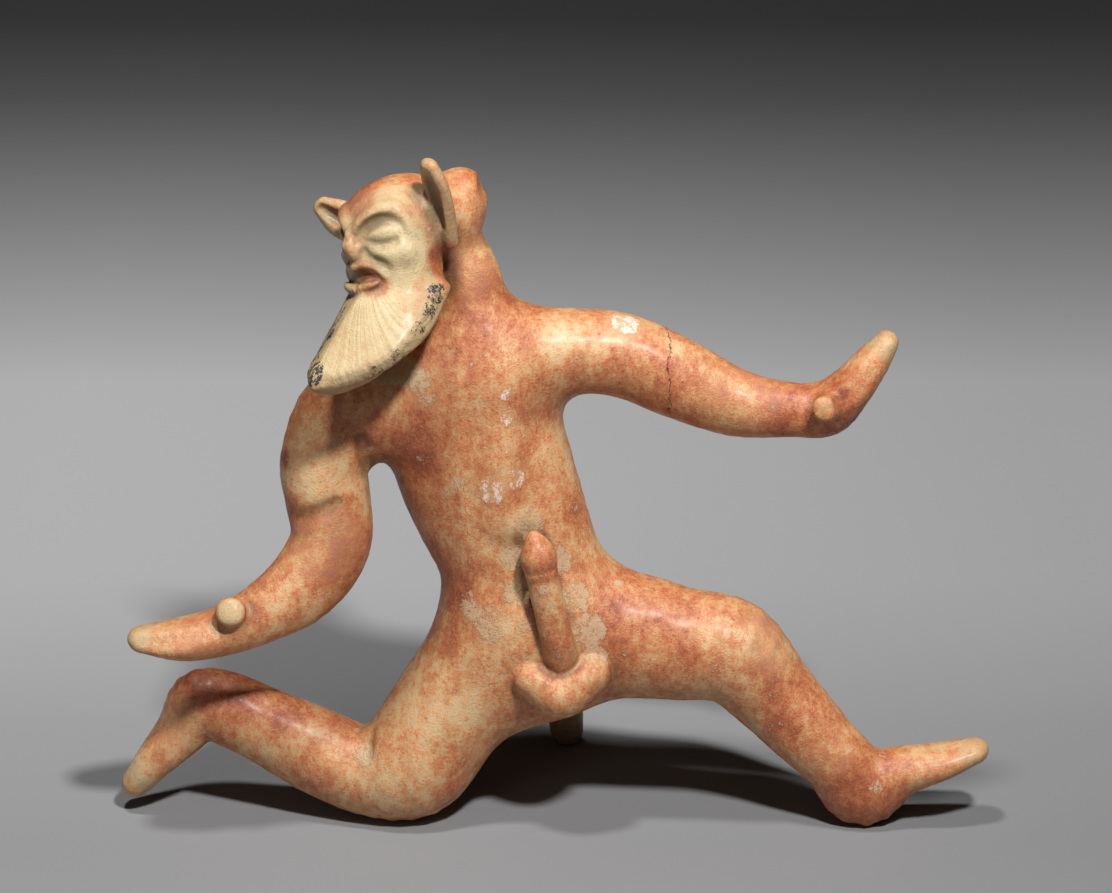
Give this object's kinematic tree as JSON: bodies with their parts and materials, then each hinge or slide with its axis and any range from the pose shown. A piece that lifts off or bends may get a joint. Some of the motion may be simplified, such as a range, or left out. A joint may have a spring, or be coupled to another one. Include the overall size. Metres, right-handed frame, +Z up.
{
  "type": "faun statue",
  "caption": "Small solid terracotta satyr in a kneeling run, arms flung out, with a jutting spade beard, pricked ears and a tail that props it from behind.",
  "frame": {"origin": "on the floor under the middle of the figure's box", "axes": "+X the way the figure strides, towards its leading hand and foot; -Y towards the viewer, its front; +Z up"},
  "size_m": [0.1412, 0.0514, 0.1134],
  "materials": {
    "fired_clay": "matt fired clay, burnished by handling to a soft sheen, with mottled orange-red slip and rests of black paint"
  },
  "bodies": {
    "root": {"satyr_figure": "fired_clay"}
  },
  "joints": []
}
